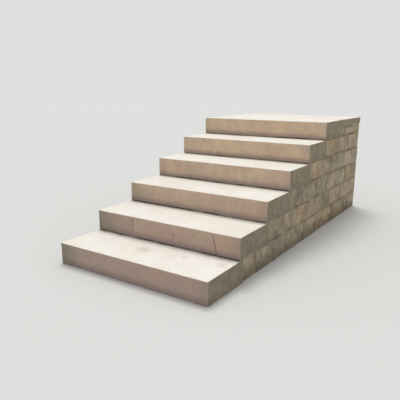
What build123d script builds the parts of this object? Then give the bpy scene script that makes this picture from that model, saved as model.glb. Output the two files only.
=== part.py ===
"""Outdoor stone steps: six solid stone blocks climbing to a paved landing.

Each block laps under the one above it and is bedded in mortar. Behind the blocks,
courses of squared stone carry the flight down to the ground on three sides, round
a core of packed rubble. X runs along the treads, Y climbs, Z is up. The origin is
the middle of the base. All sizes are in millimetres.
"""
from build123d import *
import os

# The flight
STEPS = 6
RISE = 165.0
GOING = 390.0
WIDTH = 1290.0

# The step blocks
LAP = 40.0  # how far a block runs in under the one above it
WASH = 4.0  # fall of a tread towards its front edge, to shed rain
NOSE_RADIUS = 6.0  # worn front edge of a tread
ARRIS = 3.0  # eased edges, round a block's ends and where the top one meets the landing

# The mortar
BED = 8.0  # thickness of a bed joint
RAKE = 6.0  # how far the joints are raked back from the faces

# The masonry that carries the flight
WALL = 200.0  # thickness of the side and back walls

# The landing behind the top block
SLABS = 2
SLAB_DEPTH = 330.0
SLAB_THICKNESS = 60.0
SLAB_JOINT = 8.0
SLAB_BED = 22.0
SLAB_RAKE = 4.0  # how far the joints between slabs lie below their tops
SLAB_ARRIS = 3.0

# Worked out from the sizes above
BLOCK_DEPTH = GOING + LAP
LANDING_TOP = STEPS * RISE
LANDING_SEAT = LANDING_TOP - SLAB_THICKNESS - SLAB_BED
TOTAL_DEPTH = (STEPS - 1) * GOING + BLOCK_DEPTH + SLABS * (SLAB_JOINT + SLAB_DEPTH)
BACK = TOTAL_DEPTH / 2
HALF_WIDTH = WIDTH / 2


def riser_face(step):
    """Y of the front face of a step, counted from 1 at the bottom."""
    return -TOTAL_DEPTH / 2 + (step - 1) * GOING


def block_back(step):
    """Y of the back face of a step's block, where its course of masonry starts."""
    return riser_face(step) + BLOCK_DEPTH


def course_base(course):
    """Z of the underside of a course. The first stands on the ground with no bed."""
    return 0.0 if course == 1 else (course - 1) * RISE + BED


def course_top(course):
    """Z of the top of a course. The last one stops below the landing's bedding."""
    return LANDING_SEAT if course == STEPS else course * RISE


def cuboid(x, y, z):
    """A block between pairs of X, Y and Z values."""
    size = Box(
        x[1] - x[0],
        y[1] - y[0],
        z[1] - z[0],
        align=(Align.MIN, Align.MIN, Align.MIN),
    )
    return Pos(x[0], y[0], z[0]) * size


def across(profile_points):
    """A profile drawn in Y and Z, run from one end of the flight to the other."""
    profile = make_face(Polyline(*[(0, y, z) for y, z in profile_points], close=True))
    return extrude(profile, amount=HALF_WIDTH, dir=(1, 0, 0), both=True)


def step_block(step):
    """A block with a weathered tread, a level seat at the back and a rounded nose."""
    front, seat, back = riser_face(step), riser_face(step) + GOING, block_back(step)
    base, top = course_base(step), step * RISE
    nose = top - WASH
    block = across(
        [(front, base), (back, base), (back, top), (seat, top), (front, nose)]
    )
    along_nose = block.edges().filter_by(Axis.X).filter_by_position(
        Axis.Z, nose - 0.1, nose + 0.1
    )
    block = fillet(along_nose, NOSE_RADIUS)
    end_edges = block.faces().filter_by(Axis.X).edges()
    exposed = end_edges.filter_by(
        lambda edge: edge.center().Z > base + 0.1 and edge.center().Y < back - 0.1
    )
    if step == STEPS:
        beside_landing = block.edges().filter_by(Axis.X).filter_by_position(
            Axis.Y, back - 0.1, back + 0.1
        )
        exposed.append(beside_landing.sort_by(Axis.Z)[-1])
    return chamfer(exposed, ARRIS)


def mortar_bed(course):
    """The bed under a course: a plate under the block, and strips under the walls."""
    base = (course - 1) * RISE
    plate = cuboid(
        (-HALF_WIDTH + RAKE, HALF_WIDTH - RAKE),
        (riser_face(course) + RAKE, BACK - RAKE),
        (base, base + BED),
    )
    core_hole = cuboid(
        (-HALF_WIDTH + WALL, HALF_WIDTH - WALL),
        (block_back(course), BACK - WALL),
        (base, base + BED),
    )
    return plate - core_hole


def side_runs_through(course):
    """The corner stones are bonded: side and back walls take the corner in turn."""
    return course % 2 == 1


def side_wall(course, side):
    """One course of a side wall. The side is -1 for the left and 1 for the right."""
    inner, outer = sorted((side * (HALF_WIDTH - WALL), side * HALF_WIDTH))
    end = BACK if side_runs_through(course) else BACK - WALL
    return cuboid(
        (inner, outer),
        (block_back(course), end),
        (course_base(course), course_top(course)),
    )


def back_wall(course):
    """One course of the back wall, between the side walls or across their ends."""
    reach = HALF_WIDTH - WALL if side_runs_through(course) else HALF_WIDTH
    return cuboid(
        (-reach, reach),
        (BACK - WALL, BACK),
        (course_base(course), course_top(course)),
    )


def rubble_core():
    """Packed rubble inside the walls, stepped up behind and under the blocks."""
    outline = [(BACK - WALL, 0.0), (BACK - WALL, LANDING_SEAT)]
    outline.append((block_back(STEPS), LANDING_SEAT))
    for course in range(STEPS - 1, 0, -1):
        outline.append((block_back(course + 1), course * RISE))
        outline.append((block_back(course), course * RISE))
    outline.append((block_back(1), 0.0))
    profile = make_face(Polyline(*[(0, y, z) for y, z in outline], close=True))
    return extrude(profile, amount=HALF_WIDTH - WALL, dir=(1, 0, 0), both=True)


def slab_front(slab):
    """Y of the front edge of a landing slab, counted from 1 behind the top block."""
    return block_back(STEPS) + slab * SLAB_JOINT + (slab - 1) * SLAB_DEPTH


def landing_slab(slab):
    """A paving slab as wide as the flight, with its upper edges eased."""
    front = slab_front(slab)
    plate = cuboid(
        (-HALF_WIDTH, HALF_WIDTH),
        (front, front + SLAB_DEPTH),
        (LANDING_TOP - SLAB_THICKNESS, LANDING_TOP),
    )
    rim = plate.faces().sort_by(Axis.Z)[-1].edges()
    return chamfer(rim, SLAB_ARRIS)


def landing_bedding():
    """The mortar under the slabs, which also rises into the joints between them."""
    ends = (-HALF_WIDTH + RAKE, HALF_WIDTH - RAKE)
    bedding = cuboid(
        ends,
        (block_back(STEPS), BACK - RAKE),
        (LANDING_SEAT, LANDING_TOP - SLAB_THICKNESS),
    )
    for slab in range(1, SLABS + 1):
        bedding += cuboid(
            ends,
            (slab_front(slab) - SLAB_JOINT, slab_front(slab)),
            (LANDING_SEAT, LANDING_TOP - SLAB_RAKE),
        )
    return bedding


def build():
    """Every piece of the flight, by name."""
    pieces = {}
    for step in range(1, STEPS + 1):
        pieces[f"step_block_{step}"] = step_block(step)
        pieces[f"left_wall_course_{step}"] = side_wall(step, -1)
        pieces[f"right_wall_course_{step}"] = side_wall(step, 1)
        pieces[f"back_wall_course_{step}"] = back_wall(step)
    for step in range(2, STEPS + 1):
        pieces[f"mortar_bed_{step}"] = mortar_bed(step)
    for slab in range(1, SLABS + 1):
        pieces[f"landing_slab_{slab}"] = landing_slab(slab)
    pieces["landing_bedding"] = landing_bedding()
    pieces["rubble_core"] = rubble_core()
    return pieces


os.makedirs("parts", exist_ok=True)
for name, piece in build().items():
    export_step(piece, f"parts/{name}.step")
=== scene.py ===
import random
from math import radians

import bmesh
import bpy
import numpy as np
from mathutils import Matrix, Vector


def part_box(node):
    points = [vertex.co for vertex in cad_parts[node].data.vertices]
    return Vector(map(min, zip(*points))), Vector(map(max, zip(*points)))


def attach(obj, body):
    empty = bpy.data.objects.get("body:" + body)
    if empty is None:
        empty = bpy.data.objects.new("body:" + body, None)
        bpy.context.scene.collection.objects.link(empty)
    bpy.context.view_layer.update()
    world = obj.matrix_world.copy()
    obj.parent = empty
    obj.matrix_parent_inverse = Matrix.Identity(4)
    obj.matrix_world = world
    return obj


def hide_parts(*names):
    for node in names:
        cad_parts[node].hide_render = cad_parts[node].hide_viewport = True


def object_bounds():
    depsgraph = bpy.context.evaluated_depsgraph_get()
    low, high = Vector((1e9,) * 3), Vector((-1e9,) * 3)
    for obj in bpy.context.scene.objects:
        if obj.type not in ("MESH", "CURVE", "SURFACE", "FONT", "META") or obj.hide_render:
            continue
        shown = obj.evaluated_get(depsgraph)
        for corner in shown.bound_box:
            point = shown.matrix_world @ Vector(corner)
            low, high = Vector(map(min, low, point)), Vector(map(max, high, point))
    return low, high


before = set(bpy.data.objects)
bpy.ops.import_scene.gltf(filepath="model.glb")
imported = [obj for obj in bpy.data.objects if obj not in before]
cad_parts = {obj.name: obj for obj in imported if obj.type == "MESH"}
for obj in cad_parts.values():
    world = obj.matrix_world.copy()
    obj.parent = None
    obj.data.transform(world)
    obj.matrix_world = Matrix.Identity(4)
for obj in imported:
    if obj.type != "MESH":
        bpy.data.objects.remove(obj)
cad_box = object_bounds()
bpy.ops.object.select_all(action="DESELECT")

# The walls that carry the flight, at its sides and back.
# Squared stones with pitched faces, laid in mortar in courses one step high. Upright
# joints are staggered, and side and back walls take the corner stones in turn.
X, Y, Z = range(3)  # the axes, by their places in a point
SIDE_FACE, BACK_FACE = cad_box[1].x, cad_box[1].y  # how far out the faces of the walls lie
# For each wall, the axis that it runs along, the axis across it, and which way its face looks.
WALLS = {
    "left": {"along": Y, "out": X, "side": -1},
    "right": {"along": Y, "out": X, "side": 1},
    "back": {"along": X, "out": Y, "side": 1},
}
COURSES = 6
NEAR = 0.001  # places closer together than this count as one
STONE_LENGTH = 0.28
STONE_SHARES = (0.62, 1.42)  # the shortest and the longest stone, against an even share of a course
JOINT_TRIES = 120  # how many ways to share out a course are tried
STONE_ARRIS = 0.005
SETBACK = 0.003  # the furthest that a stone lies behind the face of its wall
STONE_GRID = 0.011  # how finely the faces that show are divided, to carry their relief
HIDDEN_GRID = 0.045
FACE_DEPTH = 0.016  # how far in from the walls' faces the stones are rough
SPLIT_DEPTH = 0.013
CHISEL_DEPTH = 0.006
RIM_WIDTH = 0.032
RIM_DROP = 0.003
RIM_ROUGHNESS = 0.45  # how rough a stone's rim is, against the middle of its face
CHIP_REACH = 0.014  # how far from its arrises a stone is chipped
CHIP_DEPTH = 0.005
DEEPEST = 0.020  # how far behind the walls' faces a hollow holds the most dirt and painted shade
WALL_SHARPEST = 40  # edges of the walls' stones that turn more than this, in degrees, stay sharp
UPRIGHT_JOINT = 0.010
JOINT_OVERLAP = 0.003  # how far an upright joint's mortar goes in behind the arrises
JOINT_RAKE = 0.007
JOINT_CUTS = 6  # how often the mortar of an upright joint is divided, to carry its relief
SAND_DEPTH = 0.003
LEAST_WEIGHT = 0.01  # points with less wear than this are left alone
wall_chance = random.Random(4)


def only(*pieces):
    """Selects these pieces and nothing else, with the first one active."""
    bpy.ops.object.select_all(action="DESELECT")
    for piece in pieces:
        piece.select_set(True)
    bpy.context.view_layer.objects.active = pieces[0]


def cuboid(low, high):
    """A plain block between two corners, as one new object."""
    low, high = Vector(low), Vector(high)
    bpy.ops.mesh.primitive_cube_add(size=1, location=(low + high) / 2, scale=high - low)
    bpy.ops.object.transform_apply(location=True, rotation=True, scale=True)
    return bpy.context.object


def bevelled(piece, chosen, width, segments=2):
    """Bevels the edges whose middles pass a test."""
    only(piece)
    bpy.ops.object.mode_set(mode="EDIT")
    bpy.ops.mesh.select_mode(type="EDGE")
    bpy.ops.mesh.select_all(action="DESELECT")
    shape = bmesh.from_edit_mesh(piece.data)
    for edge in shape.edges:
        edge.select = chosen((edge.verts[0].co + edge.verts[1].co) / 2)
    bmesh.update_edit_mesh(piece.data)
    bpy.ops.mesh.bevel(offset=width, segments=segments, affect="EDGES")
    bpy.ops.object.mode_set(mode="OBJECT")


def divided(piece, axis, places):
    """Divides the faces of a piece by planes across one axis."""
    only(piece)
    bpy.ops.object.mode_set(mode="EDIT")
    across = [float(direction == axis) for direction in (X, Y, Z)]
    for place in places:
        bpy.ops.mesh.select_all(action="SELECT")
        bpy.ops.mesh.bisect(plane_co=[place * part for part in across], plane_no=across)
    bpy.ops.object.mode_set(mode="OBJECT")


def evenly(start, end, spacing):
    """Places between two ends, as near to one spacing apart as divides them evenly."""
    count = max(1, round((end - start) / spacing))
    return [start + (end - start) * cut / count for cut in range(1, count)]


def joined(pieces, name):
    """Several pieces made into one, under a name."""
    only(*pieces)
    if len(pieces) > 1:
        bpy.ops.object.join()
    pieces[0].name = pieces[0].data.name = name
    return pieces[0]


def modified(piece, kind, **settings):
    """Adds a modifier to a piece and applies it."""
    only(piece)
    modifier = piece.modifiers.new(kind.title(), kind)
    for setting, value in settings.items():
        setattr(modifier, setting, value)
    bpy.ops.object.modifier_apply(modifier=modifier.name)


def worn_back(piece, group, depth, pattern):
    """Wears a group of points back from where they are, by a pattern and never outwards."""
    modified(
        piece,
        "DISPLACE",
        vertex_group=group,
        texture=pattern,
        texture_coords="LOCAL",
        strength=depth,
        mid_level=1.0,
    )


def points_of(piece):
    """Where the points of a piece are, one row each."""
    places = np.zeros(len(piece.data.vertices) * 3, np.float32)
    piece.data.vertices.foreach_get("co", places)
    return places.reshape(-1, 3)


def moved_to(piece, places):
    """Moves the points of a piece to new places, one row each."""
    piece.data.vertices.foreach_set("co", places.astype(np.float32).ravel())
    piece.data.update()


def kept_within(piece, low, high):
    """Puts back the few points that the wear has pushed past the stone's own faces."""
    moved_to(piece, np.clip(points_of(piece), np.array(low), np.array(high)))


def note(piece, name, values):
    """Keeps a number for each point, or one for all, for the finish to read."""
    attribute = piece.data.attributes.new(name, "FLOAT", "POINT")
    attribute.data.foreach_set("value", np.full(len(piece.data.vertices), values, np.float32))


def weigh(piece, name, values):
    """Puts points in a group by weight, for the wear to go by."""
    group = piece.vertex_groups.new(name=name)
    for index in np.flatnonzero(values > LEAST_WEIGHT):
        group.add([int(index)], float(values[index]), "REPLACE")


def cloudy(name, size, depth=2, brightness=1.0, contrast=1.0):
    """An uneven pattern in the stone's own space, for wear and rough faces."""
    pattern = bpy.data.textures.new(name, "CLOUDS")
    pattern.noise_scale = size
    pattern.noise_depth = depth
    pattern.intensity = brightness
    pattern.contrast = contrast
    return pattern


def scooped(name, size):
    """A pattern of shallow scoops with ridges between, as a chisel leaves them."""
    pattern = bpy.data.textures.new(name, "VORONOI")
    pattern.noise_scale = size
    return pattern


def smoothed(piece, sharpest):
    """Shades a piece smooth, but for edges that turn more than an angle in degrees."""
    only(piece)
    bpy.ops.object.shade_smooth_by_angle(angle=radians(sharpest))


def finished(piece, finish):
    """Gives a piece or a node one finish all over."""
    piece.data.materials.clear()
    piece.data.materials.append(finish)


def upright_joints(start, end, below):
    """Where a course's upright joints fall: unevenly, and clear of those in the course below."""
    count = max(1, round((end - start) / STONE_LENGTH))

    def shared_out():
        shares = [wall_chance.uniform(*STONE_SHARES) for _ in range(count)]
        return [start + (end - start) * sum(shares[:cut]) / sum(shares) for cut in range(1, count)]

    def clearance(joints):
        return min((abs(joint - lower) for joint in joints for lower in below), default=STONE_LENGTH)

    return max([shared_out() for _ in range(JOINT_TRIES)], key=clearance)


def behind_faces(places):
    """How far points lie behind the nearest outer face of the walls."""
    return np.minimum(SIDE_FACE - np.abs(places[:, X]), BACK_FACE - places[:, Y])


def weighed_for_pitching(stone, low, high):
    """Groups a stone's points by how far its bare face, its rim and its arrises are worked."""
    places = points_of(stone)
    bare = np.clip((SETBACK + FACE_DEPTH - behind_faces(places)) / FACE_DEPTH, 0, 1)
    to_faces = np.minimum(places - np.array(low), np.array(high) - places)
    to_arris = np.sort(to_faces, axis=1)[:, 1]
    rim = np.clip(1 - to_arris / RIM_WIDTH, 0, 1)
    weigh(stone, "bare", bare * (1 - rim * (1 - RIM_ROUGHNESS)))
    weigh(stone, "rim", bare * rim)
    weigh(stone, "arris", bare * np.clip(1 - to_arris / CHIP_REACH, 0, 1))


def squared_stone(low, high):
    """One squared stone with its arrises eased, finely divided where it shows."""
    stone = cuboid(low, high)
    bevelled(stone, lambda middle: True, STONE_ARRIS)
    in_side = max(-low.x, high.x) > SIDE_FACE - SETBACK - NEAR
    in_back = high.y > BACK_FACE - SETBACK - NEAR
    along_x = STONE_GRID if in_back else HIDDEN_GRID
    along_y = STONE_GRID if in_side else HIDDEN_GRID
    for axis, spacing in enumerate((along_x, along_y, STONE_GRID)):
        divided(stone, axis, evenly(low[axis] + STONE_ARRIS, high[axis] - STONE_ARRIS, spacing))
    weighed_for_pitching(stone, low, high)
    note(stone, "stone_seed", wall_chance.random())
    return stone


def upright_mortar(low, high):
    """The mortar in one upright joint, divided so that it can be rough."""
    fill = cuboid(low, high)
    bpy.ops.object.mode_set(mode="EDIT")
    bpy.ops.mesh.select_all(action="SELECT")
    bpy.ops.mesh.subdivide(number_cuts=JOINT_CUTS)
    bpy.ops.object.mode_set(mode="OBJECT")
    weigh(fill, "sanded", np.ones(len(fill.data.vertices)))
    return fill


def stretch_of(low, high, axis, start, end):
    """The part of a box from start to end along one axis."""
    low, high = low.copy(), high.copy()
    low[axis], high[axis] = start, end
    return low, high


def set_back(low, high, axis, side, depth):
    """A box with the face on one side moved in."""
    low, high = low.copy(), high.copy()
    if side > 0:
        high[axis] -= depth
    else:
        low[axis] += depth
    return low, high


def laid_course(wall, course, below):
    """The stones and the upright mortar of one course, and where its joints fall."""
    low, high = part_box(f"{wall}_wall_course_{course}")
    along, out, side = (WALLS[wall][key] for key in ("along", "out", "side"))
    sides_take_corner = course % 2 == 1
    if wall == "back":
        first_joint = last_joint = sides_take_corner
    else:
        first_joint, last_joint = True, not sides_take_corner
    start = low[along] + UPRIGHT_JOINT * first_joint
    end = high[along] - UPRIGHT_JOINT * last_joint
    joints = upright_joints(start, end, below)

    half = UPRIGHT_JOINT / 2
    starts = [start] + [joint + half for joint in joints]
    ends = [joint - half for joint in joints] + [end]
    stones = []
    for stone_start, stone_end in zip(starts, ends):
        corners = stretch_of(low, high, along, stone_start, stone_end)
        corners = set_back(*corners, out, side, wall_chance.uniform(0, SETBACK))
        stones.append(squared_stone(*corners))

    fills = []
    for joint in joints + [start - half] * first_joint + [end + half] * last_joint:
        fill_start = max(joint - half - JOINT_OVERLAP, low[along])
        fill_end = min(joint + half + JOINT_OVERLAP, high[along])
        corners = stretch_of(low, high, along, fill_start, fill_end)
        fills.append(upright_mortar(*set_back(*corners, out, side, JOINT_RAKE)))
    return stones, fills, joints


def pitched(stones, low, high):
    """Works the bare faces of a course: rims drawn in, faces split and chiselled, arrises chipped."""
    modified(stones, "DISPLACE", vertex_group="rim", strength=-RIM_DROP, mid_level=0.0)
    worn_back(stones, "bare", SPLIT_DEPTH, split_face)
    worn_back(stones, "bare", CHISEL_DEPTH, chisel_marks)
    worn_back(stones, "arris", CHIP_DEPTH, arris_wear)
    kept_within(stones, low, high)
    note(stones, "hollow", np.clip(behind_faces(points_of(stones)) / DEEPEST, 0, 1))
    smoothed(stones, WALL_SHARPEST)


split_face = cloudy("split_face", size=0.065, depth=3, brightness=1.15, contrast=1.9)
chisel_marks = scooped("chisel_marks", size=0.042)
arris_wear = cloudy("arris_wear", size=0.045, brightness=1.15, contrast=1.6)
joint_sand = cloudy("joint_sand", size=0.015)
wall_stones = []
wall_joints = []
for wall in WALLS:
    fills, below = [], []
    for course in range(1, COURSES + 1):
        stones, course_fills, below = laid_course(wall, course, below)
        fills += course_fills
        stones = joined(stones, f"{wall}_wall_stones_{course}")
        node = f"{wall}_wall_course_{course}"
        pitched(stones, *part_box(node))
        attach(stones, "root")
        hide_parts(node)
        wall_stones.append(stones)
    fills = joined(fills, f"{wall}_wall_upright_joints")
    worn_back(fills, "sanded", SAND_DEPTH, joint_sand)
    smoothed(fills, WALL_SHARPEST)
    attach(fills, "root")
    wall_joints.append(fills)


def add(tree, kind, inputs=None, **settings):
    """A node with its settings. Each input is a value or the output of another node."""
    node = tree.nodes.new(kind)
    for setting, value in settings.items():
        setattr(node, setting, value)
    for socket, value in (inputs or {}).items():
        if isinstance(value, bpy.types.NodeSocket):
            tree.links.new(value, node.inputs[socket])
        else:
            node.inputs[socket].default_value = value
    return node


def surface(name, roughness, shine):
    """A new finish: its node tree, its shader, and the place on the piece that it colours."""
    material = bpy.data.materials.new(name)
    material.use_nodes = True
    tree = material.node_tree
    shader = tree.nodes["Principled BSDF"]
    shader.inputs["Roughness"].default_value = roughness
    shader.inputs["Specular IOR Level"].default_value = shine
    place = add(tree, "ShaderNodeTexCoord").outputs["Object"]
    return material, tree, shader, place


def parts_of(tree, vector):
    """The X, Y and Z of a place or of a direction."""
    return add(tree, "ShaderNodeSeparateXYZ", {"Vector": vector}).outputs


def noted(tree, name):
    """A number that the mesh keeps for each of its points."""
    return add(tree, "ShaderNodeAttribute", attribute_name=name).outputs["Fac"]


def cloud(tree, place, scale, seed=0.0, detail=3.0, roughness=0.5):
    """Soft random patches, from 0 to 1."""
    inputs = {"Vector": place, "W": seed, "Scale": scale, "Detail": detail, "Roughness": roughness}
    return add(tree, "ShaderNodeTexNoise", inputs, noise_dimensions="4D").outputs["Fac"]


def between(tree, value, start, end, low=0.0, high=1.0):
    """Goes smoothly from low to high as a value goes from start to end."""
    inputs = {"Value": value, "From Min": start, "From Max": end, "To Min": low, "To Max": high}
    return add(tree, "ShaderNodeMapRange", inputs, interpolation_type="SMOOTHSTEP").outputs["Result"]


def worked_out(tree, kind, *values):
    """Arithmetic on one, two or three values."""
    return add(tree, "ShaderNodeMath", dict(enumerate(values)), operation=kind).outputs[0]


def product(tree, first, second):
    """Two values multiplied."""
    return worked_out(tree, "MULTIPLY", first, second)


def frayed(tree, value, pattern, reach):
    """A value with a pattern added to it, which moves it by up to a reach."""
    return worked_out(tree, "MULTIPLY_ADD", pattern, reach, value)


SHARE, UNDER, OVER, RESULT = 0, 6, 7, 2  # the sockets of a Mix node that mixes colours


def laid_over(tree, under, over, share, way="MIX"):
    """One colour laid over another by a share."""
    inputs = {SHARE: share, UNDER: under, OVER: over}
    return add(tree, "ShaderNodeMix", inputs, data_type="RGBA", blend_type=way).outputs[RESULT]


def laid_where(tree, under, over, value, start, end, most=1.0):
    """One colour laid over another by a value: none of it at start, and the most of it at end."""
    return laid_over(tree, under, over, between(tree, value, start, end, high=most))


def shaded_by(tree, colour, pattern, low, high):
    """A colour made darker or lighter as a pattern goes from 0.25 to 0.75."""
    grey = between(tree, pattern, 0.25, 0.75, low, high)
    grey = add(tree, "ShaderNodeCombineColor", {"Red": grey, "Green": grey, "Blue": grey})
    return laid_over(tree, colour, grey.outputs["Color"], 1.0, way="MULTIPLY")


def paint(red, green, blue):
    """A colour as a paint chart gives it, from 0 to 255, made ready for a shader."""
    shares = [channel / 255 for channel in (red, green, blue)]
    linear = [s / 12.92 if s <= 0.04045 else ((s + 0.055) / 1.055) ** 2.4 for s in shares]
    return (*linear, 1.0)


def coloured(tree, shader, colour, height, strength, depth):
    """Gives a shader its colour, and a relief of a certain depth."""
    tree.links.new(colour, shader.inputs["Base Color"])
    inputs = {"Strength": strength, "Distance": depth, "Height": height}
    tree.links.new(add(tree, "ShaderNodeBump", inputs).outputs["Normal"], shader.inputs["Normal"])


WALL_BEIGE = paint(184, 166, 143)
WALL_GREY = paint(152, 143, 126)
WALL_OCHRE = paint(186, 158, 122)
WALL_PATCH = paint(194, 178, 154)
RUBBED_STONE_AND_HIGHLIGHT = paint(208, 195, 172)
HOLLOW_DIRT_AND_SHADE = paint(118, 105, 84)
WALL_GRIME = paint(108, 103, 86)
SOIL = paint(98, 88, 70)
WALL_SPREAD = 40.0  # how far apart the patterns of two stones may lie


def wall_stone_finish():
    """Pale warm stone, split and dirtied, each stone a little different, with painted shade in its hollows
    and a painted highlight on its raised parts.
    """
    material, tree, shader, place = surface("wall_stone", roughness=0.9, shine=0.25)
    seed = noted(tree, "stone_seed")
    shift = product(tree, seed, WALL_SPREAD)
    colour = laid_over(tree, WALL_BEIGE, WALL_GREY, seed)
    colour = laid_where(tree, colour, WALL_OCHRE, worked_out(tree, "FRACT", shift), 0.55, 0.95, most=0.7)
    patches = cloud(tree, place, scale=9.0, seed=shift, detail=4.0, roughness=0.6)
    colour = laid_where(tree, colour, WALL_PATCH, patches, 0.35, 0.7, most=0.7)
    hollow = noted(tree, "hollow")
    # Raised parts of the faces are paler and hollows darker: rubbed stone and dirt, with a painted
    # highlight and painted shade.
    colour = laid_where(tree, colour, RUBBED_STONE_AND_HIGHLIGHT, hollow, 0.4, 0.1, most=0.3)
    colour = laid_where(tree, colour, HOLLOW_DIRT_AND_SHADE, hollow, 0.35, 1.0, most=0.6)
    grime = cloud(tree, place, scale=3.1, seed=shift, detail=5.0, roughness=0.65)
    colour = laid_where(tree, colour, WALL_GRIME, grime, 0.44, 0.72, most=0.7)
    height = frayed(tree, parts_of(tree, place)["Z"], patches, -0.15)
    colour = laid_where(tree, colour, SOIL, height, 0.06, -0.05, most=0.55)
    grain = cloud(tree, place, scale=260.0, detail=2.0)
    colour = shaded_by(tree, colour, grain, 0.86, 1.08)
    dents = cloud(tree, place, scale=48.0, seed=shift, detail=8.0, roughness=0.7)
    coloured(tree, shader, colour, frayed(tree, grain, dents, 4.0), strength=0.8, depth=0.002)
    return material


wall_stone = wall_stone_finish()
for stones in wall_stones:
    finished(stones, wall_stone)

# The mortar in the beds and upright joints, and under the landing slabs.
# Lime and sand, raked back from the faces. In front, where the beds open on to the
# treads, the joints are dark with dirt and painted shade in some stretches, and full of dust in others.
LIME_MORTAR = paint(186, 173, 150)
DIRTY_MORTAR = paint(126, 114, 96)
JOINT_DIRT_AND_SHADE = paint(88, 78, 76)
BLOWN_DUST = paint(196, 180, 162)
DUST_SEED = 13.0  # which stretches of the front joints the dust fills


def dusty_stretches(tree, place):
    """From 0 to 1 along the front joints, where blown dust fills them and hides their shade."""
    return between(tree, cloud(tree, place, scale=3.4, seed=DUST_SEED, detail=2.0), 0.46, 0.56)


def mortar_finish():
    """Sandy mortar, patchy with dirt, and dark with dirt and painted shade towards the treads where no
    dust fills the joint.
    """
    material, tree, shader, place = surface("mortar", roughness=0.95, shine=0.15)
    dirt = cloud(tree, place, scale=7.0, detail=5.0, roughness=0.65)
    colour = laid_where(tree, LIME_MORTAR, DIRTY_MORTAR, dirt, 0.38, 0.7, most=0.9)
    colour = laid_where(tree, colour, SOIL, parts_of(tree, place)["Z"], 0.12, 0.0, most=0.7)
    facing = parts_of(tree, add(tree, "ShaderNodeNewGeometry").outputs["Normal"])
    forward = between(tree, facing["Y"], -0.4, -0.8)
    # Mortar facing the front, in the joints at the risers' feet, is dark: dirt and painted shade.
    colour = laid_over(tree, colour, JOINT_DIRT_AND_SHADE, product(tree, forward, 0.8))
    dust = product(tree, forward, dusty_stretches(tree, place))
    colour = laid_over(tree, colour, BLOWN_DUST, product(tree, dust, 0.85))
    sand = cloud(tree, place, scale=420.0, detail=2.0, roughness=0.7)
    colour = shaded_by(tree, colour, sand, 0.7, 1.2)
    trowelled = cloud(tree, place, scale=38.0, detail=4.0, roughness=0.6)
    coloured(tree, shader, colour, frayed(tree, sand, trowelled, 5.0), strength=0.8, depth=0.0015)
    return material


mortar = mortar_finish()
beds = [f"mortar_bed_{course}" for course in range(2, COURSES + 1)] + ["landing_bedding"]
for joint in wall_joints + [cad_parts[bed] for bed in beds]:
    finished(joint, mortar)

# The rubble packed inside the walls.
# Broken stone of many sizes with earth between. Only its underside could be seen.
RUBBLE_SCALE = 14.0
RUBBLE_BEIGE = paint(150, 138, 120)
RUBBLE_GREY = paint(120, 112, 98)
EARTH = paint(70, 60, 48)


def rubble_finish():
    """Broken stone with dark earth in the gaps."""
    material, tree, shader, place = surface("rubble", roughness=0.95, shine=0.2)
    cells = {"Vector": place, "Scale": RUBBLE_SCALE}
    lumps = add(tree, "ShaderNodeTexVoronoi", cells).outputs["Color"]
    from_gap = add(tree, "ShaderNodeTexVoronoi", cells, feature="DISTANCE_TO_EDGE").outputs["Distance"]
    tone = add(tree, "ShaderNodeSeparateColor", {"Color": lumps}).outputs["Red"]
    colour = laid_over(tree, RUBBLE_BEIGE, RUBBLE_GREY, tone)
    colour = laid_where(tree, EARTH, colour, from_gap, 0.0, 0.09)
    coloured(tree, shader, colour, between(tree, from_gap, 0.0, 0.2), strength=0.8, depth=0.01)
    return material


finished(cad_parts["rubble_core"], rubble_finish())

# The six step blocks.
# Each is one sawn block of pale warm stone, with a tread that falls to a rounded front edge
# and a back that runs in under the block above. The second is cracked, scratched and streaked.
first_low, first_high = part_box("step_block_1")
model_low, model_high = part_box("step_block_2")
STEPS = COURSES
RISE = first_high.z
GOING = model_low.y - first_low.y  # from one front edge to the next
WASH = 0.004  # how far a tread falls to its front edge
NOSE_RADIUS = 0.006
NOSE_SEGMENTS = 3
BLOCK_ARRIS = 0.003
BLOCK_GRID = 0.009
CORNER_RADII = (0.003, 0.009)
WORN_CORNER = 0.012  # radius of the first block's left front corner, the most worn
WEAR_REACH = 0.014  # how far from an edge a block is worn
EDGE_WEAR = 0.004
FOOT_WEAR = 0.35  # wear of a riser's lower edge, against that of its upper one
FACE_WEAR = 0.0018
FACE_FADE = 0.02  # how far from the hidden faces the others are as worn as they get
BLOCK_SHARPEST = 35
EDGE_NICKS = 7
NICK_RADII = (0.005, 0.012)
NICK_OUT = 0.5  # how far the middle of a nick lies outside the stone, against its radius
NICK_MARGIN = 0.04  # how far in from the ends of a block its nicks start
CORNER_NICK_RADII = (0.008, 0.015)
CORNER_NICK_OUT = 0.35
RISER_PITS = 18
RISER_PIT_RADII = (0.0015, 0.0040)
TREAD_PITS = 14
TREAD_PIT_RADII = (0.0015, 0.0038)
PIT_OUT = 0.3
PIT_MARGIN = 0.03
PIT_HEIGHT_MARGIN = 0.02
NICK_FACETS, PIT_FACETS = 2, 1  # how finely the lumps that cut nicks and pits are divided
LUMP_ROUGHNESS = 0.2  # how far the points of a lump stray, against its radius
SCATTER = (0.12, 0.88)  # which part of its own stretch a nick or a pit may lie in
CRACKED_STEP = 2
CRACK_DEPTH = 0.006
CRACK_WIDEST = 1 / 3  # how far down a crack is widest, as a share of its length
CRACK_TAPER = 1.2  # the share of that width that it would lose over its whole length
# Ends are given as the place across from the middle, and the height above the block's foot.
CRACK = {"top": (0.432, 0.137), "foot": (0.464, 0.0), "width": 0.0013, "bends": 9, "stray": 0.002}
SCRATCH = {"top": (0.097, 0.093), "foot": (0.101, 0.061), "width": 0.002, "bends": 3, "stray": 0.0006}
block_chance = random.Random(11)


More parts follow.
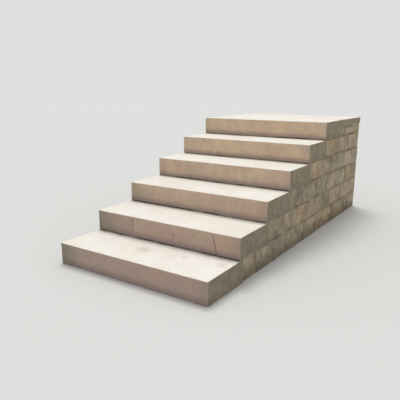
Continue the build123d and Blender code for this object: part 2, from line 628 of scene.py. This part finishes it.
def shifted(piece, test, move):
    """Moves the points that pass a test."""
    only(piece)
    bpy.ops.object.mode_set(mode="EDIT")
    bpy.ops.mesh.select_mode(type="VERT")
    bpy.ops.mesh.select_all(action="DESELECT")
    shape = bmesh.from_edit_mesh(piece.data)
    for point in shape.verts:
        point.select = test(point.co)
    bmesh.update_edit_mesh(piece.data)
    bpy.ops.transform.translate(value=move)
    bpy.ops.object.mode_set(mode="OBJECT")


def copied(model, name, move):
    """A copy of a piece with a mesh of its own, moved to its place."""
    copy = model.copy()
    copy.data = model.data.copy()
    bpy.context.collection.objects.link(copy)
    copy.name = copy.data.name = name
    copy.location = move
    only(copy)
    bpy.ops.object.transform_apply(location=True, rotation=True, scale=True)
    return copy


def sawn_block(low, high):
    """A step block, divided finely enough to be worn and nicked."""
    nose = high.z - WASH

    def at_front(place):
        return place.y < low.y + NEAR

    def at_end(place):
        return abs(place.x) > high.x - NEAR and place.z > low.z + NEAR and place.y < high.y - NEAR

    block = cuboid(low, high)
    divided(block, Y, [low.y + GOING])
    shifted(block, lambda place: at_front(place) and place.z > nose, (0, 0, -WASH))
    bevelled(block, lambda middle: at_front(middle) and middle.z > nose - NEAR, NOSE_RADIUS, NOSE_SEGMENTS)
    bevelled(block, at_end, BLOCK_ARRIS)
    divided(block, Z, evenly(low.z, nose - NOSE_RADIUS, BLOCK_GRID))
    divided(block, Y, evenly(low.y + NOSE_RADIUS, high.y, BLOCK_GRID))
    divided(block, X, evenly(low.x + BLOCK_ARRIS, high.x - BLOCK_ARRIS, BLOCK_GRID))
    return block


def placed_block(step, low, high):
    """The model block copied to its place, with its foot let down to what it stands on."""
    to_place = (0, low.y - model_low.y, high.z - model_high.z)
    block = copied(model_block, f"worn_step_block_{step}", to_place)
    foot = high.z - (model_high.z - model_low.z)
    shifted(block, lambda place: place.z < foot + NEAR, (0, 0, low.z - foot))
    return block


def round_corner(places, low, high, side, radius):
    """Rounds off the upright front corner of a block at one end."""
    end = low.x if side < 0 else high.x
    inwards = np.stack([(end - places[:, X]) * side, places[:, Y] - low.y], axis=1)
    reach = radius - inwards
    length = np.hypot(reach[:, 0], reach[:, 1])
    outside = (reach > 0).all(axis=1) & (length > radius)
    inwards[outside] = radius - reach[outside] * (radius / length[outside])[:, None]
    places[:, X] = end - inwards[:, 0] * side
    places[:, Y] = low.y + inwards[:, 1]
    return places


def corners_rounded(block, low, high, is_first):
    """Rounds off both front corners of a block, by chance and more where the first is most worn."""
    places = points_of(block)
    for side in (-1, 1):
        radius = block_chance.uniform(*CORNER_RADII)
        if is_first and side < 0:
            radius = WORN_CORNER
        places = round_corner(places, low, high, side, radius)
    moved_to(block, places)


def scattered(start, end, count):
    """Random places between two ends, each in its own stretch, so that no two meet."""
    stretch = (end - start) / count
    return [start + stretch * (turn + block_chance.uniform(*SCATTER)) for turn in range(count)]


def nicks_and_pits(low, high):
    """The place, radius and facets of the lumps that nick one block's edges and pit its faces."""
    nose = high.z - WASH
    spots = []
    for along in scattered(low.x + NICK_MARGIN, high.x - NICK_MARGIN, EDGE_NICKS):
        radius = block_chance.uniform(*NICK_RADII)
        out = radius * NICK_OUT
        spots.append(((along, low.y - out, nose + out), radius, NICK_FACETS))
    for side in (-1, 1):
        radius = block_chance.uniform(*CORNER_NICK_RADII)
        out = radius * CORNER_NICK_OUT
        spots.append(((side * (high.x + out), low.y - out, nose + out), radius, NICK_FACETS))
    for along in scattered(low.x + PIT_MARGIN, high.x - PIT_MARGIN, RISER_PITS):
        radius = block_chance.uniform(*RISER_PIT_RADII)
        height = block_chance.uniform(low.z + PIT_HEIGHT_MARGIN, nose - PIT_HEIGHT_MARGIN)
        spots.append(((along, low.y - radius * PIT_OUT, height), radius, PIT_FACETS))
    for along in scattered(low.x + PIT_MARGIN, high.x - PIT_MARGIN, TREAD_PITS):
        radius = block_chance.uniform(*TREAD_PIT_RADII)
        back = block_chance.uniform(PIT_MARGIN, GOING - PIT_MARGIN)
        height = nose + WASH * back / GOING
        spots.append(((along, low.y + back, height + radius * PIT_OUT), radius, PIT_FACETS))
    return spots


def lumps(spots):
    """Small faceted lumps, which cut a nick or a pit where they bite into a stone."""
    made = []
    for place, radius, facets in spots:
        bpy.ops.mesh.primitive_ico_sphere_add(subdivisions=facets, radius=radius, location=place)
        bpy.ops.object.transform_apply(location=True, rotation=True, scale=True)
        made.append(bpy.context.object)
        bpy.ops.object.mode_set(mode="EDIT")
        bpy.ops.transform.vertex_random(offset=radius * LUMP_ROUGHNESS, seed=block_chance.randrange(1000))
        bpy.ops.object.mode_set(mode="OBJECT")
    return joined(made, "lumps")


def ends_of(crack, block_foot):
    """The top and the foot of a crack, each as its X and its Z."""
    (top_x, top_height), (foot_x, foot_height) = crack["top"], crack["foot"]
    return (top_x, block_foot + top_height), (foot_x, block_foot + foot_height)


def crooked_blade(crack, low):
    """A thin bent blade, which cuts a crack into the riser of the block whose low corner is given."""
    (top_x, top_z), (foot_x, foot_z) = ends_of(crack, low.z)
    half, bends, stray = crack["width"] / 2, crack["bends"], crack["stray"]
    blade = cuboid((-half, low.y - CRACK_DEPTH, foot_z), (half, low.y + CRACK_DEPTH, top_z))
    divided(blade, Z, evenly(foot_z, top_z, (top_z - foot_z) / bends))
    places = points_of(blade)
    down = (top_z - places[:, Z]) / (top_z - foot_z)
    strays = [block_chance.uniform(-stray, stray) for _ in range(bends + 1)]
    centre = top_x + (foot_x - top_x) * down + np.interp(down * bends, range(bends + 1), strays)
    places[:, X] = centre + places[:, X] * (1 - CRACK_TAPER * np.abs(down - CRACK_WIDEST))
    moved_to(blade, places)
    return blade


def cut_out(piece, cutter):
    """Takes one shape out of a piece, and throws the cutter away."""
    modified(piece, "BOOLEAN", operation="DIFFERENCE", object=cutter, solver="MANIFOLD")
    bpy.data.objects.remove(cutter)


def edge_wear(places, low, high, is_last):
    """From 0 to 1, how near each point is to an edge that shows."""
    from_end = high.x - np.abs(places[:, X])
    from_front = places[:, Y] - low.y
    from_top = high.z - WASH * (1 - np.clip(from_front / GOING, 0, 1)) - places[:, Z]
    pairs = [(from_front, from_top), (from_end, from_top), (from_end, from_front)]
    if is_last:
        pairs.append((high.y - places[:, Y], from_top))
    nearest = np.min([np.hypot(*pair) for pair in pairs], axis=0)
    return np.clip(1 - nearest / WEAR_REACH, 0, 1)


def weathered(piece, low, high, edges, shown):
    """Wears a sawn piece at its edges, and unevenly where its faces are clear of what hides them."""
    weigh(piece, "arris", edges)
    weigh(piece, "shown", np.clip(shown / FACE_FADE, 0, 1))
    worn_back(piece, "arris", EDGE_WEAR, arris_wear)
    worn_back(piece, "shown", FACE_WEAR, unevenness)
    kept_within(piece, low, high)


model_block = sawn_block(model_low, model_high)
unevenness = cloudy("unevenness", size=0.22)
step_blocks = []
for step in range(1, STEPS + 1):
    node = f"step_block_{step}"
    low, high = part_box(node)
    block = placed_block(step, low, high)
    corners_rounded(block, low, high, is_first=step == 1)
    cut_out(block, lumps(nicks_and_pits(low, high)))
    if step == CRACKED_STEP:
        cut_out(block, crooked_blade(CRACK, low))
        cut_out(block, crooked_blade(SCRATCH, low))
    places = points_of(block)
    from_front = places[:, Y] - low.y
    from_foot = places[:, Z] - low.z
    wear = edge_wear(places, low, high, is_last=step == STEPS)
    foot_wear = FOOT_WEAR * (1 - np.hypot(from_front, from_foot) / WEAR_REACH)
    weathered(block, low, high, np.maximum(wear, foot_wear), np.minimum(high.y - places[:, Y], from_foot))
    note(block, "wear", wear)
    note(block, "from_front", from_front * (step < STEPS))
    note(block, "stone_seed", block_chance.random())
    smoothed(block, BLOCK_SHARPEST)
    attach(block, "root")
    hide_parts(node)
    step_blocks.append(block)
bpy.data.objects.remove(model_block)

RISER_SANDY = paint(210, 183, 158)
RISER_CREAM = paint(220, 196, 165)
RISER_DAMP_AND_SHADE = paint(170, 149, 140)
RISER_ROSY = paint(190, 154, 134)
RISER_GREY = paint(180, 166, 152)
RISER_BROWN = paint(196, 170, 156)
RISER_STREAKS = paint(172, 150, 132)
RISER_DRIPS = paint(224, 206, 188)
LICHEN = paint(146, 126, 99)
DARKER_FOOT = paint(138, 125, 124)
SOILED_AND_SHADED_ENDS = paint(140, 128, 116)
MOSS_AND_SHADE = paint(108, 112, 94)
STREAK_GREY_AND_SHADE = paint(132, 122, 120)
STREAK_PALE = paint(208, 184, 168)
STREAK_DARK = paint(120, 96, 88)
CRACK_BROWN = paint(112, 72, 60)
TREAD_WHITE = paint(241, 236, 227)
TREAD_IVORY = paint(234, 227, 216)
TREAD_WORN = paint(214, 206, 195)
TREAD_SILT_AND_SHADE = paint(144, 133, 122)
TREAD_JOINT_DIRT_AND_SHADE = paint(94, 84, 78)
TREAD_STAIN_AND_SHADE = paint(190, 162, 142)
END_BEIGE_AND_SHADE = paint(148, 137, 116)
END_GREY_AND_SHADE = paint(115, 108, 91)
RUBBED_EDGE = paint(226, 212, 192)
SPECKS = paint(112, 98, 86)
BLOCK_SPREAD = 30.0  # how far apart the patterns of two blocks may lie
TINGE_SHIFT = 7.0  # how far a block's rosy and grey tinges lie from its other patterns
UPRIGHT = (1.0, 1.0, 0.08)  # draws a pattern out upright, into streaks and drips
DRY_HEIGHT, DAMP_AND_SHADE_HEIGHT = 0.70, 0.10  # risers are dry above the first, and dampest and darkest, with painted shade, below the second
MOSS_AND_SHADE_START, MOSS_AND_SHADE_END = -0.36, -0.66  # mossy staining and painted shade thicken from one X to the other, at the left
END_SOIL_AND_SHADE_START, END_SOIL_AND_SHADE_END = 0.56, 0.74  # and dirt and painted shade likewise, out from the middle towards both ends
STREAK = -0.262  # where water has left a pale and a dark streak down the cracked step's riser
STREAK_WIDTH = 0.018
STREAK_SHARE = 0.3
STREAK_FADE = 0.066  # over what height the streaks fade out at the foot
CRACK_DIRT = 0.007  # how far brown dirt has run beside a crack
CRACK_DIRT_SHARE = 0.6
CRACK_DIRT_ENDS = (-0.004, 0.008)  # how far inside a crack's ends its dirt starts and is in full
MARK_DEPTH = 0.010  # how far behind the riser's face its marks are coloured
BLUR = 0.002  # over what distance a colour fades where it stops at a line
SILT_AND_SHADE_REACH = 0.047  # how far silt and painted shade lie out from a riser's foot, where there is most of them
# Brown patches on the first tread, part staining and part painted dappled shade: across from the middle,
# back from the front edge, and radius.
STAIN_AND_SHADE_PATCHES = [(-0.03, 0.233, 0.09), (0.296, 0.259, 0.04), (0.58, 0.268, 0.06)]
STAIN_AND_SHADE_SHARE = 0.5


def stain_and_shade_patch(tree, place, centre, radius, ragged):
    """From its share at the middle of a brown patch, part staining and part painted shade, to 0 at its
    ragged rim.
    """
    inputs = {0: place, 1: centre}
    distance = add(tree, "ShaderNodeVectorMath", inputs, operation="DISTANCE").outputs["Value"]
    distance = frayed(tree, distance, ragged, radius * 2)
    return between(tree, distance, radius * 1.9, radius * 0.9, high=STAIN_AND_SHADE_SHARE)


def crack_dirt(tree, parts, crack, block_foot, ragged):
    """From 0 to its share beside a crack, where brown dirt has run out of it."""
    (top_x, top_z), (foot_x, foot_z) = ends_of(crack, block_foot)
    down = worked_out(tree, "SUBTRACT", top_z, parts["Z"])
    line = worked_out(tree, "MULTIPLY_ADD", down, (foot_x - top_x) / (top_z - foot_z), top_x)
    aside = worked_out(tree, "ABSOLUTE", worked_out(tree, "SUBTRACT", parts["X"], line))
    aside = frayed(tree, aside, ragged, CRACK_DIRT * 0.3)
    beside = between(tree, aside, CRACK_DIRT, CRACK_DIRT * 0.3, high=CRACK_DIRT_SHARE)
    from_foot = worked_out(tree, "SUBTRACT", top_z - foot_z, down)
    from_ends = worked_out(tree, "MINIMUM", down, from_foot)
    return product(tree, beside, between(tree, from_ends, *CRACK_DIRT_ENDS))


def upright_streak(tree, parts, ragged, middle, width):
    """A streak that water has left down a riser, from its share at the middle to 0 at its sides."""
    across = frayed(tree, parts["X"], ragged, width * 0.8)
    aside = worked_out(tree, "ABSOLUTE", worked_out(tree, "SUBTRACT", across, middle + width * 0.4))
    return between(tree, aside, width * 0.8, width * 0.2, high=STREAK_SHARE)


def riser_colour(tree, place, parts, shift, broad, fine):
    """Warm stone, darker than the treads with painted shade; pinker and darker low in the flight, from
    damp and painted shade; mottled and streaked; darker at the foot; dirty and shaded at the ends, mossy
    and shaded at the left.
    """
    low_down = between(tree, parts["Z"], DRY_HEIGHT, DAMP_AND_SHADE_HEIGHT)
    riser = laid_where(tree, RISER_SANDY, RISER_CREAM, broad, 0.35, 0.65)
    # Darker low in the flight: damp and painted shade.
    riser = laid_over(tree, riser, RISER_DAMP_AND_SHADE, product(tree, low_down, 0.85))
    tinge = cloud(tree, place, scale=4.2, seed=worked_out(tree, "ADD", shift, TINGE_SHIFT))
    rosy = product(tree, between(tree, tinge, 0.50, 0.68), between(tree, low_down, 0, 1, 0.15, 0.4))
    riser = laid_over(tree, riser, RISER_ROSY, rosy)
    riser = laid_where(tree, riser, RISER_GREY, tinge, 0.48, 0.32, most=0.35)
    riser = laid_where(tree, riser, RISER_BROWN, fine, 0.35, 0.75, most=0.4)

    upright = add(tree, "ShaderNodeMapping", {"Vector": place, "Scale": UPRIGHT}).outputs["Vector"]
    streaks = cloud(tree, upright, scale=22.0, seed=shift, detail=4.0)
    riser = laid_where(tree, riser, RISER_STREAKS, streaks, 0.45, 0.8, most=0.28)
    drips = cloud(tree, upright, scale=55.0, seed=shift, detail=2.0)
    riser = laid_where(tree, riser, RISER_DRIPS, drips, 0.60, 0.76, most=0.18)

    height = worked_out(tree, "FRACT", worked_out(tree, "DIVIDE", parts["Z"], RISE))
    mottled = cloud(tree, place, scale=62.0, seed=shift, roughness=0.6)
    lichen = product(tree, between(tree, mottled, 0.50, 0.64), between(tree, fine, 0.42, 0.60))
    lichen = product(tree, lichen, between(tree, height, 0.30, 0.95, 0.10, 0.45))
    riser = laid_over(tree, riser, LICHEN, lichen)
    # Darker towards the foot of each riser.
    ragged_height = frayed(tree, height, fine, -0.24)
    riser = laid_where(tree, riser, DARKER_FOOT, ragged_height, 0.26, -0.06, most=0.66)

    # Darker towards both ends: dirt and painted shade.
    outwards = frayed(tree, worked_out(tree, "ABSOLUTE", parts["X"]), fine, 0.12)
    soiled_and_shaded = between(tree, outwards, END_SOIL_AND_SHADE_START, END_SOIL_AND_SHADE_END)
    soiled_and_shaded = product(tree, soiled_and_shaded, between(tree, low_down, 0, 1, 0.15, 0.5))
    riser = laid_over(tree, riser, SOILED_AND_SHADED_ENDS, soiled_and_shaded)
    # Greener towards the left end, low in the flight: mossy staining and painted shade.
    leftward = between(tree, parts["X"], MOSS_AND_SHADE_START, MOSS_AND_SHADE_END)
    moss_and_shade = product(tree, product(tree, leftward, low_down), fine)
    return laid_over(tree, riser, MOSS_AND_SHADE, moss_and_shade)


def marked_riser(tree, riser, parts, fine):
    """The riser of the cracked step: its water streaks, grey damp and painted shade beside them, and dirt
    beside the crack and the scratch.
    """
    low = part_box(f"step_block_{CRACKED_STEP}")[0]
    foot = (CRACKED_STEP - 1) * RISE
    face = low.y + MARK_DEPTH
    on_face = between(tree, parts["Y"], face + BLUR, face)
    streaked = product(tree, on_face, between(tree, parts["Z"], foot, foot + STREAK_FADE))
    # Greyer left of the pale streak: damp and painted shade.
    damp_and_shaded_side = between(tree, parts["X"], STREAK, STREAK - STREAK_WIDTH, high=0.25)
    riser = laid_over(tree, riser, STREAK_GREY_AND_SHADE, product(tree, damp_and_shaded_side, streaked))
    pale = upright_streak(tree, parts, fine, STREAK, STREAK_WIDTH)
    riser = laid_over(tree, riser, STREAK_PALE, product(tree, pale, streaked))
    dark = upright_streak(tree, parts, fine, STREAK - STREAK_WIDTH, STREAK_WIDTH * 0.7)
    riser = laid_over(tree, riser, STREAK_DARK, product(tree, dark, streaked))
    for crack in (CRACK, SCRATCH):
        dirt = product(tree, crack_dirt(tree, parts, crack, low.z, fine), on_face)
        riser = laid_over(tree, riser, CRACK_BROWN, dirt)
    return riser


def tread_colour(tree, place, broad, fine):
    """Bleached stone with painted light, with silt and painted shade before the next riser, a dark joint
    of dirt and painted shade under it, and a few brown patches, part staining and part painted dappled
    shade.
    """
    from_front = noted(tree, "from_front")
    tread = laid_where(tree, TREAD_WHITE, TREAD_IVORY, broad, 0.35, 0.65)
    tread = laid_where(tree, tread, TREAD_WORN, fine, 0.45, 0.8, most=0.4)
    # Darker towards the back of each tread, before the next riser: silt and painted shade.
    backward = frayed(tree, from_front, fine, SILT_AND_SHADE_REACH)
    tread = laid_where(tree, tread, TREAD_SILT_AND_SHADE, backward, GOING - 0.006, GOING + 0.026, most=0.75)
    # The seat under each riser, inside the joint, is dark: dirt and painted shade, less where dust fills
    # it.
    covered = between(tree, from_front, GOING - BLUR, GOING + BLUR)
    shaded = between(tree, dusty_stretches(tree, place), 0, 1, 0.7, 0.1)
    tread = laid_over(tree, tread, TREAD_JOINT_DIRT_AND_SHADE, product(tree, covered, shaded))
    # Brown patches on the first tread: part staining, part painted dappled shade.
    for across, back, radius in STAIN_AND_SHADE_PATCHES:
        centre = (across, first_low.y + back, first_high.z)
        tread = laid_over(tree, tread, TREAD_STAIN_AND_SHADE, stain_and_shade_patch(tree, place, centre, radius, fine))
    return tread


def step_stone_finish():
    """Paler on the treads, from bleaching and painted light; warmer and darker on the risers, with painted
    shade; and greyer and darker on the ends and the back, with soil and painted shade.
    """
    material, tree, shader, place = surface("step_stone", roughness=0.85, shine=0.3)
    shift = product(tree, noted(tree, "stone_seed"), BLOCK_SPREAD)
    parts = parts_of(tree, place)
    broad = cloud(tree, place, scale=2.6, seed=shift, detail=4.0, roughness=0.55)
    fine = cloud(tree, place, scale=17.0, seed=shift, detail=5.0, roughness=0.6)
    riser = riser_colour(tree, place, parts, shift, broad, fine)
    riser = marked_riser(tree, riser, parts, fine)
    tread = tread_colour(tree, place, broad, fine)
    # The ends and the back are darker: soil and painted shade.
    end_face_soil_and_shade = laid_where(tree, END_BEIGE_AND_SHADE, END_GREY_AND_SHADE, fine, 0.3, 0.7)

    facing = parts_of(tree, add(tree, "ShaderNodeNewGeometry").outputs["Normal"])
    # The treads take a paler colour than the risers: partly bleaching, partly painted light on the treads
    # and painted shade on the risers.
    colour = laid_where(tree, riser, tread, facing["Z"], 0.35, 0.85)
    turned_away = worked_out(tree, "MAXIMUM", worked_out(tree, "ABSOLUTE", facing["X"]), facing["Y"])
    colour = laid_where(tree, colour, end_face_soil_and_shade, turned_away, 0.6, 0.9, most=0.85)
    colour = laid_where(tree, colour, RUBBED_EDGE, noted(tree, "wear"), 0.5, 1.0, most=0.25)

    grain = cloud(tree, place, scale=300.0, detail=2.0)
    colour = shaded_by(tree, colour, grain, 0.91, 1.05)
    from_speck = add(tree, "ShaderNodeTexVoronoi", {"Vector": place, "Scale": 90.0}).outputs["Distance"]
    specks = between(tree, frayed(tree, from_speck, broad, 0.5), 0.42, 0.30)
    sparse = between(tree, cloud(tree, place, scale=11.0, seed=shift), 0.48, 0.60, high=0.4)
    colour = laid_over(tree, colour, SPECKS, product(tree, specks, sparse))
    coloured(tree, shader, colour, frayed(tree, grain, fine, 2.0), strength=0.4, depth=0.0008)
    return material


step_stone = step_stone_finish()
for block in step_blocks:
    finished(block, step_stone)

# The two landing slabs behind the top block.
# Sawn slabs of the same stone on a full bed, with mortar in the joints between them.
SLABS = 2
SLAB_ARRIS = 0.003
SLAB_GRID = 0.012


def sawn_slab(low, high):
    """A landing slab with its upper edges eased, divided finely enough to be worn."""
    slab = cuboid(low, high)
    bevelled(slab, lambda middle: middle.z > high.z - NEAR, SLAB_ARRIS)
    for axis in (X, Y, Z):
        divided(slab, axis, evenly(low[axis] + SLAB_ARRIS, high[axis] - SLAB_ARRIS, SLAB_GRID))
    return slab


def rim_wear(places, low, high):
    """From 0 to 1, how near each point is to the upper edges of a slab."""
    inwards = np.minimum(places - np.array(low), np.array(high) - places)
    from_rim = np.minimum(inwards[:, X], inwards[:, Y])
    return np.clip(1 - np.hypot(from_rim, high.z - places[:, Z]) / WEAR_REACH, 0, 1)


model_low, model_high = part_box("landing_slab_1")
model_slab = sawn_slab(model_low, model_high)
for slab in range(1, SLABS + 1):
    node = f"landing_slab_{slab}"
    low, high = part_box(node)
    stone = copied(model_slab, f"worn_landing_slab_{slab}", (0, low.y - model_low.y, 0))
    places = points_of(stone)
    wear = rim_wear(places, low, high)
    weathered(stone, low, high, wear, places[:, Z] - low.z)
    note(stone, "wear", wear)
    note(stone, "stone_seed", block_chance.random())
    smoothed(stone, BLOCK_SHARPEST)
    finished(stone, step_stone)
    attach(stone, "root")
    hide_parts(node)
bpy.data.objects.remove(model_slab)

# The studio.
# A pale floor under an even pale sky, and one broad soft lamp high up behind the
# flight on its left, so that the treads are brighter than the risers and ends.
FLOOR_SIZE = 80
FLOOR_GREY = paint(214, 214, 212)
WHITE = (1.0, 1.0, 1.0, 1.0)
SKY_LIGHT = 0.65  # how bright the sky is on the flight
SKY_SEEN = 0.74  # how bright it looks behind the flight
LAMP_POWER = 1.5
LAMP_BREADTH = radians(24)
LAMP_TURN = (radians(-16), radians(-14), 0)
bpy.ops.mesh.primitive_plane_add(size=FLOOR_SIZE)
floor = bpy.context.object
floor.name = "studio_floor"
floor_finish, _, floor_shader, _ = surface("studio_floor", roughness=0.9, shine=0.2)
floor_shader.inputs["Base Color"].default_value = FLOOR_GREY
finished(floor, floor_finish)

world = bpy.data.worlds.new("studio_sky")
bpy.context.scene.world = world
world.use_nodes = True
sky = world.node_tree
background = sky.nodes["Background"]
background.inputs["Color"].default_value = WHITE
ray = add(sky, "ShaderNodeLightPath").outputs
seen = worked_out(sky, "MAXIMUM", ray["Is Camera Ray"], ray["Is Glossy Ray"])
seen = worked_out(sky, "MAXIMUM", seen, ray["Is Transmission Ray"])
sky.links.new(between(sky, seen, 0, 1, SKY_LIGHT, SKY_SEEN), background.inputs["Strength"])

bpy.ops.object.light_add(type="SUN", rotation=LAMP_TURN)
lamp = bpy.context.object
lamp.data.energy = LAMP_POWER
lamp.data.angle = LAMP_BREADTH

# The camera, where the photograph was taken from.
# It stands to the right of the foot of the flight, at about chest height, and looks a
# little down and left across the steps.
CAMERA_PLACE = Vector((1.982, -3.630, 1.239))
LOOK_LEFT = radians(33.57)
LOOK_DOWN = radians(13.22)
ROLL = radians(0.25)
FOCAL_LENGTH = 41.15
SENSOR_WIDTH = 36
bpy.ops.object.camera_add()
camera = bpy.context.object
turn = Matrix.Rotation(LOOK_LEFT, 4, "Z") @ Matrix.Rotation(radians(90) - LOOK_DOWN, 4, "X")
camera.matrix_world = Matrix.Translation(CAMERA_PLACE) @ turn @ Matrix.Rotation(ROLL, 4, "Z")
camera.data.lens = FOCAL_LENGTH
camera.data.sensor_width = SENSOR_WIDTH
bpy.context.scene.camera = camera
bpy.context.scene.view_settings.view_transform = "Standard"
